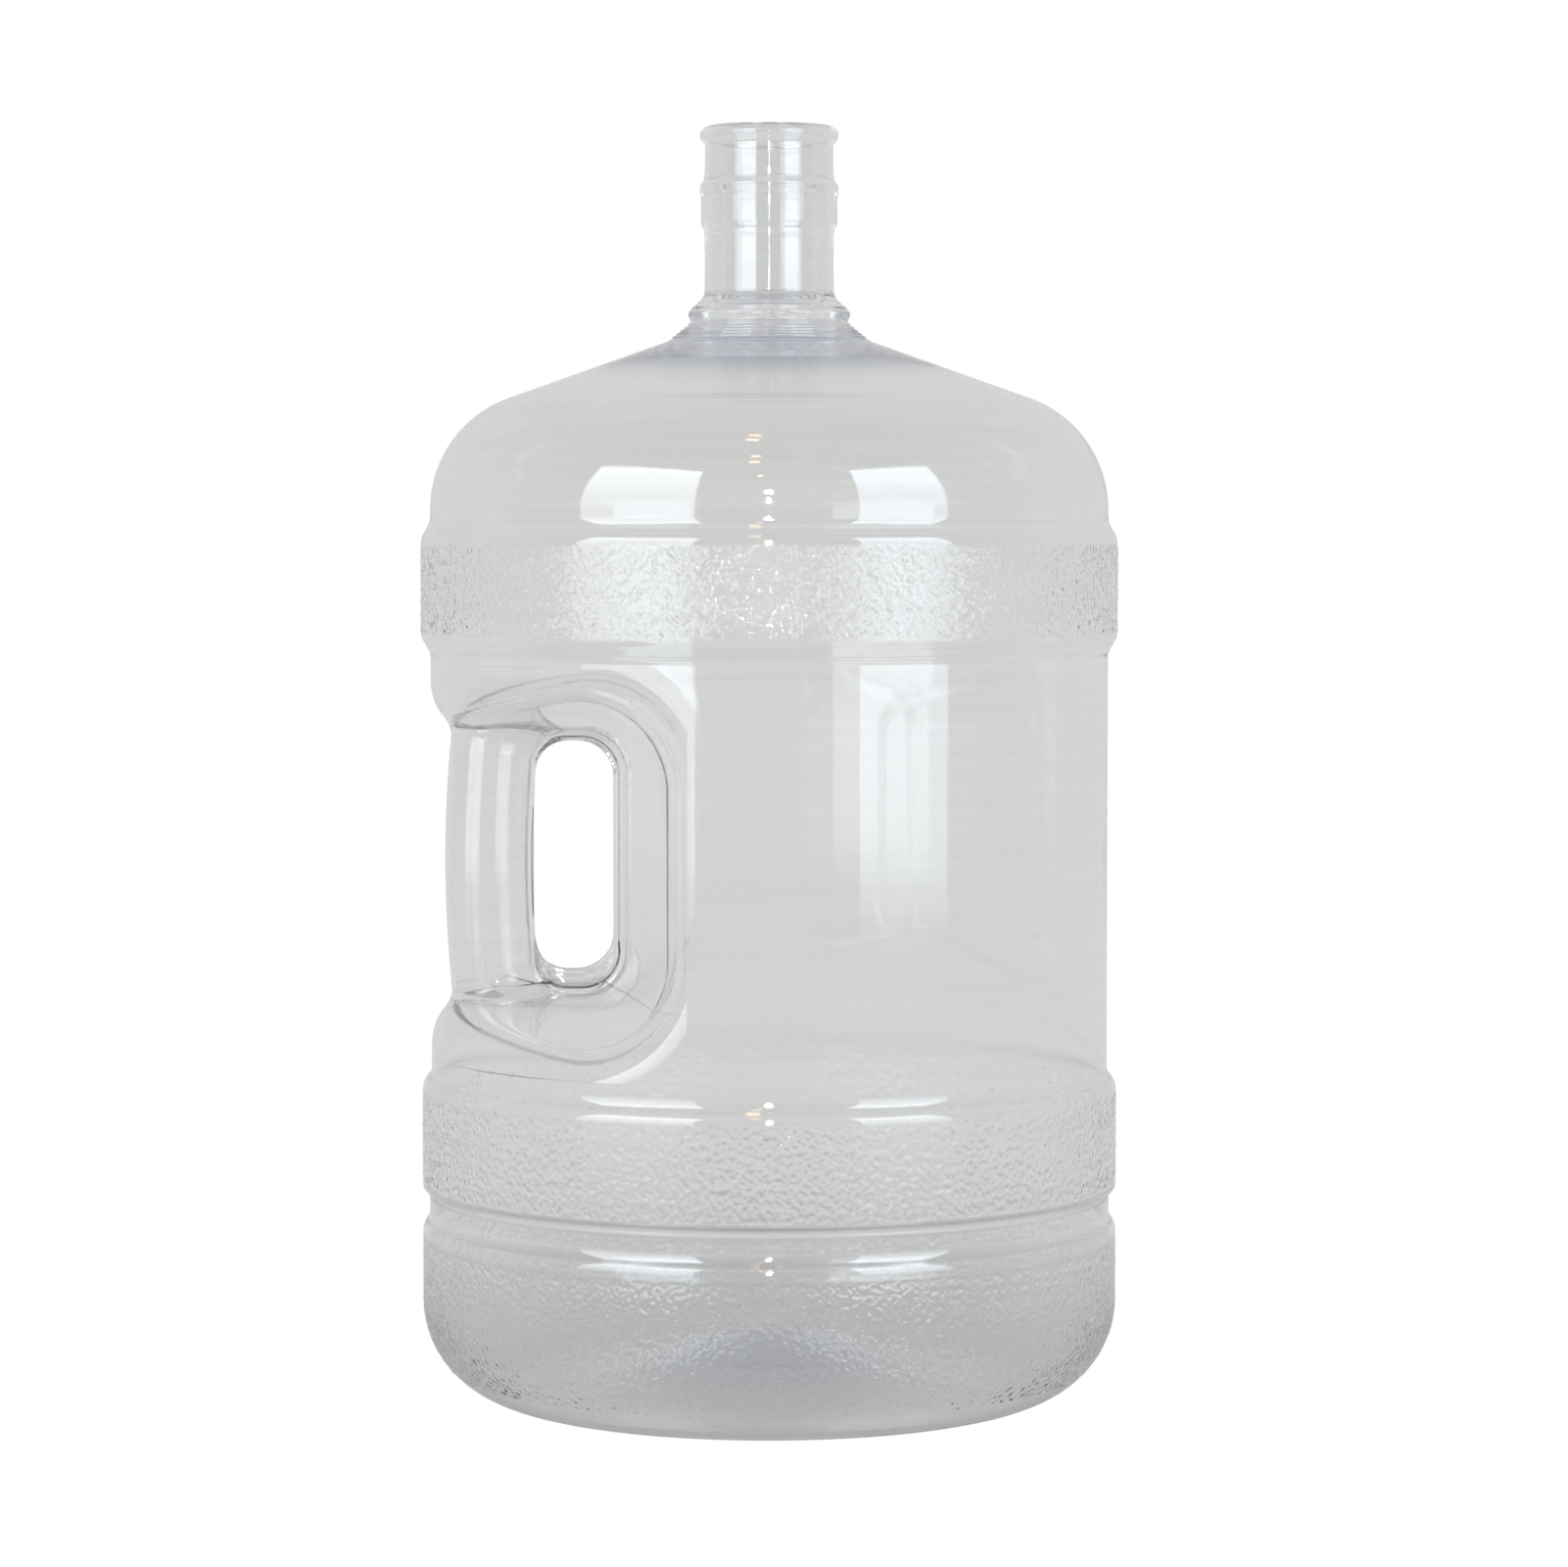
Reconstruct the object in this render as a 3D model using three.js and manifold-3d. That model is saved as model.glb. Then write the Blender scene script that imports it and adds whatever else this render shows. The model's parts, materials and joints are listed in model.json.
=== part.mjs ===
// Clear five-gallon water-cooler jug with a hollow handle moulded into its side.
// Millimetres, +Z up. The origin is on the jug's axis, on the plane that it stands on.
// The handle is on the -X side, and the two halves of the mould meet in the XZ plane.
// The jug is one hollow moulding; each moulded zone of its shell is a mesh of its own, and
// neighbouring zones meet face to face.

import * as THREE from 'three';
import { mergeVertices } from 'three/addons/utils/BufferGeometryUtils.js';
import Module from 'manifold-3d';

const wasm = await Module();
wasm.setup();

// ---- driving dimensions ----------------------------------------------------------------

const SIDES = 40;                 // facets round the body
const NECK_SIDES = 32;            // facets round the slim neck

// neck, made to the common press-on cap finish for this size of jug
const MOUTH_Z = 498;              // top of the mouth, the jug's height
const BORE_R = 22.2;              // straight bore of the neck
const BEAD = { r: 23.4, z: 494.4, radius: 3.6 };      // centre and radius of the rolled bead
const NECK_R = 25;                // neck between the bead and the cap ring
const CAP_RING = { r: 26.6, top: 477.6, bottom: 457.6, bevel: 2.4 };
const SLEEVE_R = 25.2;            // neck below the cap ring
const COLLAR_TOP_Z = 434.4;       // where the neck starts to flare
const COLLAR_LIP = { r: 31.8, z: 425.6, depth: 1.2 };
const COLLAR_GROOVE = { r: 30.5, z: 422.2 };
const COLLAR_WALL = 3.4;          // the collar is the thickest part of the moulding
const RIB_COUNT = 5;              // fine ribs down the collar's cone
const RIB_DEPTH = 0.5;
const RIB_END = { r: 39.4, z: 414.6 };

// shoulder and wall
const WALL = 1.5;                 // thickness of the blown wall
const WALL_R = 132.4;             // plain wall between the bands
const SHOULDER_DROP = 19.8;       // degrees that the shoulder's cone falls away from level
const BEND_R = 46;                // rounded corner from the shoulder to the wall
const BEND_Z = 349;               // foot of that corner

// raised bands and the groove between the two lower ones
const BAND_R = 136;               // textured bands, the jug's widest
const UPPER_BAND = { rise: [346.2, 336], fall: [300.5, 291.7] };
const LOWER_BAND = { rise: [131.4, 122.9], foot: 84.8 };
const GROOVE = { r: 133.3, z: 81 };
const BASE_BAND = { rise: [75.2, 66], foot: 40 };

// base
const HEEL_R = 40;                // rounded corner at the bottom
const FOOT_START = 45;            // degrees round that corner where the foot ring begins
const FOOT_R = 88;                // inner edge of the flat ring that the jug stands on
const DOME_RISE = 26;             // height of the pushed-up middle of the base
const BASE_WALL = 2.2;

// handle bay: the stretch of plain wall that holds the recess, the hole and the grip
const BAY = { bottom: 136.5, top: 290, edgeX: -30 };
const RECESS = { rightX: -57.5, floorZ: 160, ceilingZ: 261.6, corner: 16 };
const RECESS_DRAFT = 8.5;         // degrees that the recess widens out from the parting plane
const LOBE_R = 20;                // rounding of the wall above and below the recess
const GRIP = { x: -110.6, r: 16.6, bow: 2.6, wall: 1.7 };
const GRIP_CUT = { x: -91.5, bottom: 163, top: 250 };
const FINGER_HOLE = { left: -93.9, right: -61, bottom: 169, top: 259, corner: 15 };
const WEB = 3;                    // pinched web round the finger hole

const CLEAR_GREY = 0xd4d6d3;
const THICK_BLUE = 0xa9b2c6;

// ---- outline helpers -------------------------------------------------------------------

const point = (r, z) => new THREE.Vector2(r, z);

function arc(r, z, radius, fromDegrees, toDegrees, steps) {
  return Array.from({ length: steps + 1 }, (_, i) => {
    const degrees = THREE.MathUtils.lerp(fromDegrees, toDegrees, i / steps);
    const angle = THREE.MathUtils.degToRad(degrees);
    return point(r + radius * Math.cos(angle), z + radius * Math.sin(angle));
  });
}

// A smooth S-shaped step from one radius and height to another.
function step(fromR, fromZ, toR, toZ, steps = 3) {
  return Array.from({ length: steps + 1 }, (_, i) => {
    const t = i / steps;
    const ease = (1 - Math.cos(Math.PI * t)) / 2;
    return point(THREE.MathUtils.lerp(fromR, toR, ease), THREE.MathUtils.lerp(fromZ, toZ, t));
  });
}

// The inner side of a wall whose outer side runs down the jug: each point moves inwards,
// square to the line through its neighbours.
function inset(outline, thickness) {
  return outline.map((here, i) => {
    const before = outline[Math.max(i - 1, 0)];
    const after = outline[Math.min(i + 1, outline.length - 1)];
    const along = after.clone().sub(before).normalize();
    return point(here.x + along.y * thickness, here.y - along.x * thickness);
  });
}

const last = (list) => list[list.length - 1];

// ---- solids ----------------------------------------------------------------------------

// A geometry with shared corners and no flat-out triangles, as the boolean library needs.
function welded(geometry) {
  const bare = geometry.clone();
  bare.deleteAttribute('normal');
  bare.deleteAttribute('uv');
  const merged = mergeVertices(bare, 1e-4);
  const kept = [];
  const index = merged.index.array;
  for (let i = 0; i < index.length; i += 3) {
    const [a, b, c] = [index[i], index[i + 1], index[i + 2]];
    if (a !== b && b !== c && c !== a) kept.push(a, b, c);
  }
  merged.setIndex(kept);
  return merged;
}

function toSolid(geometry) {
  const shape = welded(geometry);
  return new wasm.Manifold(new wasm.Mesh({
    numProp: 3,
    vertProperties: new Float32Array(shape.attributes.position.array),
    triVerts: new Uint32Array(shape.index.array),
  }));
}

function toGeometry(solid) {
  const mesh = solid.getMesh();
  const geometry = new THREE.BufferGeometry();
  geometry.setAttribute('position', new THREE.BufferAttribute(mesh.vertProperties, 3));
  geometry.setIndex(new THREE.BufferAttribute(mesh.triVerts, 1));
  geometry.computeVertexNormals();
  return geometry;
}

// A profile turned round the jug's axis. It runs anticlockwise as (radius, height).
function turned(profile, sides = SIDES) {
  return welded(new THREE.LatheGeometry(profile, sides).rotateX(Math.PI / 2));
}

// A ring of wall from its outer and inner sides, both listed from the top down.
function ring(outer, inner, sides = SIDES) {
  return turned([...inner, ...outer.toReversed(), inner[0]], sides);
}

function disc(radius, bottom, top) {
  return turned([point(0, bottom), point(radius, bottom), point(radius, top), point(0, top)]);
}

function box(low, high) {
  const size = high.clone().sub(low);
  const middle = low.clone().add(high).multiplyScalar(0.5);
  return new THREE.BoxGeometry(size.x, size.y, size.z).translate(...middle);
}

// ---- neck ------------------------------------------------------------------------------

function neckZones() {
  const beadFoot = -Math.acos((NECK_R - BEAD.r) / BEAD.radius) * 180 / Math.PI;
  const bead = arc(BEAD.r, BEAD.z, BEAD.radius, 90, beadFoot, 5);
  const tube = [last(bead), point(NECK_R, CAP_RING.top)];
  const capRing = [
    point(NECK_R, CAP_RING.top),
    point(CAP_RING.r, CAP_RING.top - CAP_RING.bevel),
    point(CAP_RING.r, CAP_RING.bottom + CAP_RING.bevel),
    point(SLEEVE_R, CAP_RING.bottom),
  ];
  const sleeve = [last(capRing), point(SLEEVE_R, COLLAR_TOP_Z)];
  const boreBeside = (outline) => [point(BORE_R, outline[0].y), point(BORE_R, last(outline).y)];
  return {
    mouth_bead: ring(bead, boreBeside(bead), NECK_SIDES),
    neck_tube: ring(tube, boreBeside(tube), NECK_SIDES),
    cap_ring: ring(capRing, boreBeside(capRing), NECK_SIDES),
    neck_sleeve: ring(sleeve, boreBeside(sleeve), NECK_SIDES),
  };
}

// The flare under the neck with its lip, then a cone with fine ribs down to the shoulder.
function collarOutlines() {
  const flare = [
    point(SLEEVE_R, COLLAR_TOP_Z),
    point(THREE.MathUtils.lerp(SLEEVE_R, COLLAR_LIP.r, 0.22), COLLAR_TOP_Z - 3),
    point(COLLAR_LIP.r, COLLAR_LIP.z),
    point(COLLAR_LIP.r, COLLAR_LIP.z - COLLAR_LIP.depth),
    point(COLLAR_GROOVE.r, COLLAR_GROOVE.z),
  ];
  const cone = [last(flare)];
  for (let rib = 0; rib < RIB_COUNT; rib += 1) {
    const at = (share) => point(
      THREE.MathUtils.lerp(COLLAR_GROOVE.r, RIB_END.r, (rib + share) / RIB_COUNT),
      THREE.MathUtils.lerp(COLLAR_GROOVE.z, RIB_END.z, (rib + share) / RIB_COUNT),
    );
    const crest = at(0.5);
    cone.push(point(crest.x + RIB_DEPTH, crest.y + RIB_DEPTH), at(1));
  }
  const inside = [
    point(BORE_R, COLLAR_TOP_Z),
    point(BORE_R + 1, COLLAR_TOP_Z - 3.5),
    point(COLLAR_GROOVE.r - COLLAR_WALL, COLLAR_GROOVE.z),
  ];
  return { flare, cone, inside };
}

// ---- shoulder, bands and base ----------------------------------------------------------

// The outer side from the collar down to the foot ring, one list of points per zone.
function bodyOutlines() {
  const bend = arc(WALL_R - BEND_R, BEND_Z, BEND_R, 90 - SHOULDER_DROP, 0, 6);
  return {
    shoulder_cone: [point(RIB_END.r, RIB_END.z), bend[0]],
    shoulder_bend: bend,
    upper_band: [
      last(bend),
      ...step(WALL_R, UPPER_BAND.rise[0], BAND_R, UPPER_BAND.rise[1]),
      ...step(BAND_R, UPPER_BAND.fall[0], WALL_R, UPPER_BAND.fall[1]),
      point(WALL_R, BAY.top),
    ],
    bay: [point(WALL_R, BAY.top), point(WALL_R, BAY.bottom)],
    lower_band: [
      point(WALL_R, BAY.bottom),
      ...step(WALL_R, LOWER_BAND.rise[0], BAND_R, LOWER_BAND.rise[1]),
      point(BAND_R, LOWER_BAND.foot),
    ],
    waist_groove: [
      ...step(BAND_R, LOWER_BAND.foot, GROOVE.r, GROOVE.z),
      ...step(GROOVE.r, BASE_BAND.rise[0], BAND_R, BASE_BAND.rise[1]),
    ],
    base_band: [point(BAND_R, BASE_BAND.rise[1]), point(BAND_R, BASE_BAND.foot)],
    heel_ring: arc(BAND_R - HEEL_R, HEEL_R, HEEL_R, 0, -FOOT_START, 3),
    foot_ring: [
      ...arc(BAND_R - HEEL_R, HEEL_R, HEEL_R, -FOOT_START, -90, 3),
      point(FOOT_R, 0),
    ],
  };
}

function withoutRepeats(outline) {
  return outline.filter((here, i) => i === 0 || here.distanceTo(outline[i - 1]) > 1e-6);
}

// Each zone's ring of wall, cut from one continuous outline so that neighbours share ends.
function bodyZones() {
  const outlines = bodyOutlines();
  const whole = withoutRepeats(Object.values(outlines).flat());
  const wholeInside = inset(whole, WALL);
  const atFoot = wholeInside.length - 1;
  wholeInside[atFoot] = point(FOOT_R, BASE_WALL);
  const find = (target) => whole.findIndex((here) => here.distanceTo(target) < 1e-6);
  const zones = {};
  for (const [name, outline] of Object.entries(outlines)) {
    const from = find(outline[0]);
    const to = find(last(outline)) + 1;
    zones[name] = { outer: whole.slice(from, to), inner: wholeInside.slice(from, to) };
  }
  return zones;
}

// The pushed-up middle of the base, a smooth dome that flattens towards its rim.
function baseDome() {
  const steps = 6;
  const under = Array.from({ length: steps + 1 }, (_, i) => {
    const share = i / steps;
    return point(FOOT_R * share, DOME_RISE * (1 + Math.cos(Math.PI * share)) / 2);
  });
  const over = under.map((here) => point(here.x, here.y + BASE_WALL)).toReversed();
  return turned([...under, ...over]);
}

// ---- handle bay ------------------------------------------------------------------------

// The recess's outline as (x, z), grown by its draft and again by the wall's thickness. It
// is open to the left, where it rounds into the wall above and below.
function recessOutline(draft, thickness) {
  const lobeX = -WALL_R + LOBE_R;
  const clearX = -WALL_R - LOBE_R;
  const right = RECESS.rightX + draft + thickness;
  const floor = RECESS.floorZ - draft - thickness;
  const ceiling = RECESS.ceilingZ + draft + thickness;
  const lobe = LOBE_R - thickness;
  const corner = RECESS.corner + draft + thickness;
  return [
    point(clearX, floor - lobe),
    ...arc(lobeX, floor - lobe, lobe, 180, 90, 4),
    ...arc(right - corner, floor + corner, corner, -90, 0, 4),
    ...arc(right - corner, ceiling - corner, corner, 0, 90, 4),
    ...arc(lobeX, ceiling + lobe, lobe, -90, -180, 4),
    point(clearX, ceiling + lobe),
  ];
}

// The space that both mould halves take out of the wall for the recess. It is straight
// through the pinched web and widens with its draft until it is clear of the wall.
function recessSpace(thickness) {
  const reach = WALL_R + LOBE_R;
  const draft = (reach - WEB / 2) * Math.tan(THREE.MathUtils.degToRad(RECESS_DRAFT));
  const stations = [[-reach, draft], [-WEB / 2, 0], [WEB / 2, 0], [reach, draft]];
  const outlines = stations.map(([, growth]) => recessOutline(growth, thickness));
  const count = outlines[0].length;
  const corners = outlines.flatMap((outline, s) =>
    outline.map((here) => [here.x, stations[s][0], here.y]));
  const faces = [];
  for (let s = 0; s + 1 < stations.length; s += 1) {
    for (let i = 0; i < count; i += 1) {
      const next = (i + 1) % count;
      const [near, far] = [s * count, (s + 1) * count];
      faces.push([near + i, far + i, far + next], [near + i, far + next, near + next]);
    }
  }
  const back = (stations.length - 1) * count;
  for (const [a, b, c] of THREE.ShapeUtils.triangulateShape(outlines[0], [])) {
    faces.push([a, b, c], [back + a, back + c, back + b]);
  }
  const geometry = new THREE.BufferGeometry();
  geometry.setAttribute('position', new THREE.Float32BufferAttribute(corners.flat(), 3));
  geometry.setIndex(faces.flat());
  return toSolid(geometry);
}

// A round column that bows slightly outwards between the wall above and the wall below.
function gripColumn(radius, bottom, top) {
  const middleZ = (RECESS.floorZ + RECESS.ceilingZ) / 2;
  const half = (RECESS.ceilingZ - RECESS.floorZ) / 2;
  const at = (z) => new THREE.Vector3(
    GRIP.x + GRIP.bow * ((z - middleZ) / half) ** 2, 0, z,
  );
  const stations = [bottom, (bottom * 2 + top) / 3, (bottom + top * 2) / 3, top];
  const section = new THREE.Shape().absarc(0, 0, radius, 0, Math.PI * 2);
  return toSolid(new THREE.ExtrudeGeometry(section, {
    steps: 5,
    curveSegments: 10,
    extrudePath: new THREE.CatmullRomCurve3(stations.map(at)),
  }));
}

function roundedRectangle(path, left, right, bottom, top, corner) {
  path.moveTo(left + corner, bottom);
  path.absarc(right - corner, bottom + corner, corner, -Math.PI / 2, 0, false);
  path.absarc(right - corner, top - corner, corner, 0, Math.PI / 2, false);
  path.absarc(left + corner, top - corner, corner, Math.PI / 2, Math.PI, false);
  path.absarc(left + corner, bottom + corner, corner, Math.PI, Math.PI * 1.5, false);
  return path;
}

// The web pinched between the mould halves, with the finger hole trimmed out of it.
function pinchedWeb() {
  const buried = 1;
  const frame = roundedRectangle(
    new THREE.Shape(), GRIP.x + buried, RECESS.rightX + buried,
    RECESS.floorZ - buried, RECESS.ceilingZ + buried, RECESS.corner,
  );
  const { left, right, bottom, top, corner } = FINGER_HOLE;
  frame.holes.push(roundedRectangle(new THREE.Path(), left, right, bottom, top, corner));
  const plate = new THREE.ExtrudeGeometry(frame, {
    depth: WEB,
    curveSegments: 4,
    bevelEnabled: false,
  });
  return toSolid(plate.translate(0, 0, -WEB / 2).rotateX(Math.PI / 2));
}

// The whole bay as one shell, then parted into the wall, the recess's three sides and the
// grip.
function handleBay() {
  const past = 1;
  const outside = toSolid(disc(WALL_R, BAY.bottom, BAY.top))
    .subtract(recessSpace(0))
    .add(gripColumn(GRIP.r, RECESS.floorZ - 6, RECESS.ceilingZ + 6))
    .add(pinchedWeb());
  const inside = toSolid(disc(WALL_R - WALL, BAY.bottom - past, BAY.top + past))
    .subtract(recessSpace(WALL))
    .add(gripColumn(GRIP.r - GRIP.wall, RECESS.floorZ - 9, RECESS.ceilingZ + 9));
  const shell = outside.subtract(inside);

  const far = WALL_R + LOBE_R;
  const handleSide = toSolid(box(
    new THREE.Vector3(-far, -far, BAY.bottom - past),
    new THREE.Vector3(BAY.edgeX, far, BAY.top + past),
  ));
  const opposite = shell.subtract(handleSide);
  const recess = shell.intersect(handleSide);
  const [aboveFloor, floor] = recess.splitByPlane([0, 0, 1], GRIP_CUT.bottom);
  const [ceiling, between] = aboveFloor.splitByPlane([0, 0, 1], GRIP_CUT.top);
  const [side, grip] = between.splitByPlane([1, 0, 0], GRIP_CUT.x);
  return {
    body_wall: toGeometry(opposite),
    recess_floor: toGeometry(floor),
    recess_side: toGeometry(side),
    recess_ceiling: toGeometry(ceiling),
    handle_grip: toGeometry(grip),
  };
}

// ---- the jug ---------------------------------------------------------------------------

const jug = new THREE.Group();

function addZone(name, geometry, color = CLEAR_GREY) {
  const material = new THREE.MeshStandardMaterial({ color, roughness: 0.06, metalness: 0 });
  const mesh = new THREE.Mesh(geometry, material);
  mesh.name = name;
  jug.add(mesh);
}

for (const [name, geometry] of Object.entries(neckZones())) addZone(name, geometry);

const zones = bodyZones();
const collar = collarOutlines();
addZone('collar_flare', ring(collar.flare, collar.inside, NECK_SIDES), THICK_BLUE);
addZone(
  'collar_ribs',
  ring(collar.cone, [last(collar.inside), zones.shoulder_cone.inner[0]]),
  THICK_BLUE,
);

const bay = handleBay();
for (const [name, { outer, inner }] of Object.entries(zones)) {
  if (name === 'bay') {
    for (const [part, geometry] of Object.entries(bay)) addZone(part, geometry);
  } else {
    addZone(name, ring(outer, inner));
  }
}
addZone('base_dome', baseDome(), THICK_BLUE);

export default jug;
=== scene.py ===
"""Looks of a clear five-gallon water-cooler jug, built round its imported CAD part.

The jug is one blow-moulded shell. Each of its moulded zones is a closed mesh of its own. Where
two zones meet inside the wall, their faces have a material that light passes straight through,
so that the shell looks like one piece of plastic. Lengths are in millimetres until a mesh is made,
and in metres in the studio.
"""

import json
import math

import bpy
import numpy as np
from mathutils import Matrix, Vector


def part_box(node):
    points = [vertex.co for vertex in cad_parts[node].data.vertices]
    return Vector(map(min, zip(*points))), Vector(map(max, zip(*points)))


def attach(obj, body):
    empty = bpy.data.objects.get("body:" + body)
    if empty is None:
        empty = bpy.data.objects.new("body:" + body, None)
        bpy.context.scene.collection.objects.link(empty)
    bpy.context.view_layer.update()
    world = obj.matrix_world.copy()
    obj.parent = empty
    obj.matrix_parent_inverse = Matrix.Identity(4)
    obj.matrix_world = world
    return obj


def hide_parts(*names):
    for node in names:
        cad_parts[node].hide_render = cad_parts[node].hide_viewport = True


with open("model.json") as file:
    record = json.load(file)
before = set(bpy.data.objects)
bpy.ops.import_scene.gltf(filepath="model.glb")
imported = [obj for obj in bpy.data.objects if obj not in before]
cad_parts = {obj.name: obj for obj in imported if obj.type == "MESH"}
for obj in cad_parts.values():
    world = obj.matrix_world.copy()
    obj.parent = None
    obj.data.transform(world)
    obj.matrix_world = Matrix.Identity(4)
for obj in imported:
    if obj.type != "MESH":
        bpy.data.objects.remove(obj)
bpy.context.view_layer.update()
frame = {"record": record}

# ---- driving dimensions, in millimetres --------------------------------------------------

MM = 0.001
BODY = "root"
SLOTS = {part["node"]: part["material_slot"] for part in frame["record"]["subparts"]}


def low_of(node, axis):
    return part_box(node)[0][axis] / MM


def high_of(node, axis):
    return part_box(node)[1][axis] / MM


X, Y, Z = range(3)

MOUTH_Z = high_of("mouth_bead", Z)
BEAD_R = high_of("mouth_bead", X)
NECK_R = high_of("neck_tube", X)
RING_R = high_of("cap_ring", X)
RING_TOP, RING_BOTTOM = high_of("cap_ring", Z), low_of("cap_ring", Z)
SLEEVE_R = high_of("neck_sleeve", X)
FLARE_Z = high_of("collar_flare", Z)
LIP_R = high_of("collar_flare", X)
GROOVE_Z = low_of("collar_flare", Z)
RIBS_R = high_of("collar_ribs", X)
CONE_R = high_of("shoulder_cone", X)
BEND_Z = low_of("shoulder_bend", Z)
WALL_R = high_of("body_wall", X)
BAND_R = high_of("upper_band", X)
BAY_TOP, BAY_BOTTOM = high_of("body_wall", Z), low_of("body_wall", Z)
WAIST_TOP, WAIST_BOTTOM = high_of("waist_groove", Z), low_of("waist_groove", Z)
HEEL_Z = low_of("base_band", Z)
FOOT_Z = high_of("foot_ring", Z)
DOME_R = high_of("base_dome", X)
BAY_X = low_of("body_wall", X)
RECESS_BOTTOM, RECESS_TOP = high_of("recess_floor", Z), low_of("recess_ceiling", Z)
GRIP_X = high_of("handle_grip", X)

BORE_R = 22.2                 # straight bore of the neck
BEAD_RADIUS = 3.6             # roundness of the rolled bead
RIM_RADIUS = 0.8              # rounding of the bore's upper edge
FLARE_BEND = 5.5              # hollow bend from the neck into the flare
RIBS_START_R, RIBS_END_Z = 31.2, 414.5
RIB_COUNT, RIB_HEIGHT = 5.5, 0.34
SHOULDER_SLOPE = math.radians(19.8)
CONE_MIDDLE_Z = 403.0         # on the straight of the shoulder's cone
BEND_R = 46.0                 # rounded corner from the shoulder to the wall

# small steps of the wall, as (top, bottom) heights and the slant of their flanks
UPPER_RISE, UPPER_FALL, UPPER_FLANK = (346.2, 336.0), (300.5, 291.7), math.radians(30)
LOWER_RISE, LOWER_FLANK = (131.4, 122.9), math.radians(42)
WAIST_FALL, FALL_FLANK = (WAIST_TOP, 81.0), math.radians(44)
WAIST_RISE, RISE_FLANK = (74.7, 67.1), math.radians(39)
WAIST_R = 133.3

WALL = 1.5                    # thickness of the blown wall
RECESS_WALL = 0.55            # where it is stretched into the recess
COLLAR_WALL, COLLAR_WALL_R = 3.4, 62.0        # thick within that radius, tapering to it
BASE_WALL = 2.2
DOME_RISE = high_of("base_dome", Z) - BASE_WALL
FOOT_SMOOTH_Z = 12.0          # the foot below this height has no pebbles

# recess, hole and grip
RECESS_SIDE, RECESS_FLOOR, RECESS_CEILING = -57.5, 160.0, 261.6
SIDE_DRAFT, FLOOR_DRAFT, CEILING_DRAFT = math.radians(10), math.radians(7.5), math.radians(9.3)
RECESS_CORNER = 16.0
EDGE_FILLET, LOBE_FILLET = 12.5, 19.0
GRIP_AXIS, GRIP_BOW, GRIP_R, GRIP_WALL = -110.6, 2.6, 16.6, 1.7
HOLE = {"left": -93.9, "right": -61.0, "bottom": 169.0, "top": 259.0, "corner": 15.0}
WEB = 3.0                     # thickness of the pinched web round the hole
WEB_MARGIN = 0.45             # how much thinner each side is next to the hole
WEB_FILLET, HOLE_EDGE = 5.0, 0.8

# meshes
SPACING = 0.2                 # between the points of the shell's outline
NECK_SIDES, BODY_SIDES, PEBBLE_SIDES = 256, 640, 1280
PEBBLE_ROWS = 3               # outline points to each row of a pebbled mesh
PEBBLE_SIZE = 2.0
PEBBLE_FADE = 1.5             # over which the pebbles rise at an edge
PEBBLES_ON = 9.0              # how far they are said to run past a join, so as not to fade there
NET_STEP = 1.4                # grid of the handle bay's meshes
REACH = WALL_R + 4            # from the axis to the sides of the blocks that cut the bay out


# ---- outline of the shell, as (radius, height) from the bore's rim to the base's middle ----

def smoothstep(start, end, value):
    share = np.clip((value - start) / (end - start), 0, 1)
    return share * share * (3 - 2 * share)


def arc(r, z, radius, start, end):
    count = max(3, int(abs(end - start) / 3) + 1)
    angles = np.radians(np.linspace(start, end, count))
    return list(zip(r + radius * np.cos(angles), z + radius * np.sin(angles)))


def step(start_r, end_r, heights, flank):
    """A slanted flank from one radius to another between two heights, with equal bends."""
    height, depth = heights[0] - heights[1], abs(end_r - start_r)
    sine, cosine = math.sin(flank), math.cos(flank)
    slant = (depth * sine - height * (1 - cosine)) / (sine ** 2 - cosine * (1 - cosine))
    bend = (height - slant * cosine) / (2 * sine)
    turn = np.linspace(0, flank, 9)
    out, down = bend * (1 - np.cos(turn)), bend * np.sin(turn)
    out = np.concatenate([out, depth - out[::-1]])
    down = np.concatenate([down, height - down[::-1]])
    return list(zip(start_r + math.copysign(1, end_r - start_r) * out, heights[0] - down))


def neck_outline():
    """The rim, the rolled bead, the neck and the cap's ring with its rounded upper edge."""
    bead_r, bead_z = BEAD_R - BEAD_RADIUS, MOUTH_Z - BEAD_RADIUS
    return [
        *arc(BORE_R + RIM_RADIUS, MOUTH_Z - RIM_RADIUS, RIM_RADIUS, 180, 90),
        *arc(bead_r, bead_z, BEAD_RADIUS, 90, -60),
        (NECK_R, bead_z - 3.2),
        (NECK_R, bead_z - 10),
        (NECK_R + 0.3, RING_TOP),
        *arc(RING_R - 1.5, RING_TOP - 3.2, 1.9, 65, 0),
        (RING_R + 0.3, RING_TOP - 5.6),
        (RING_R, RING_TOP - 6.8),
        (RING_R, RING_BOTTOM + 2.4),
        (SLEEVE_R + 0.2, RING_BOTTOM),
        (SLEEVE_R - 0.1, (RING_BOTTOM + FLARE_Z) / 2),
        (SLEEVE_R, FLARE_Z),
    ]


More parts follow.
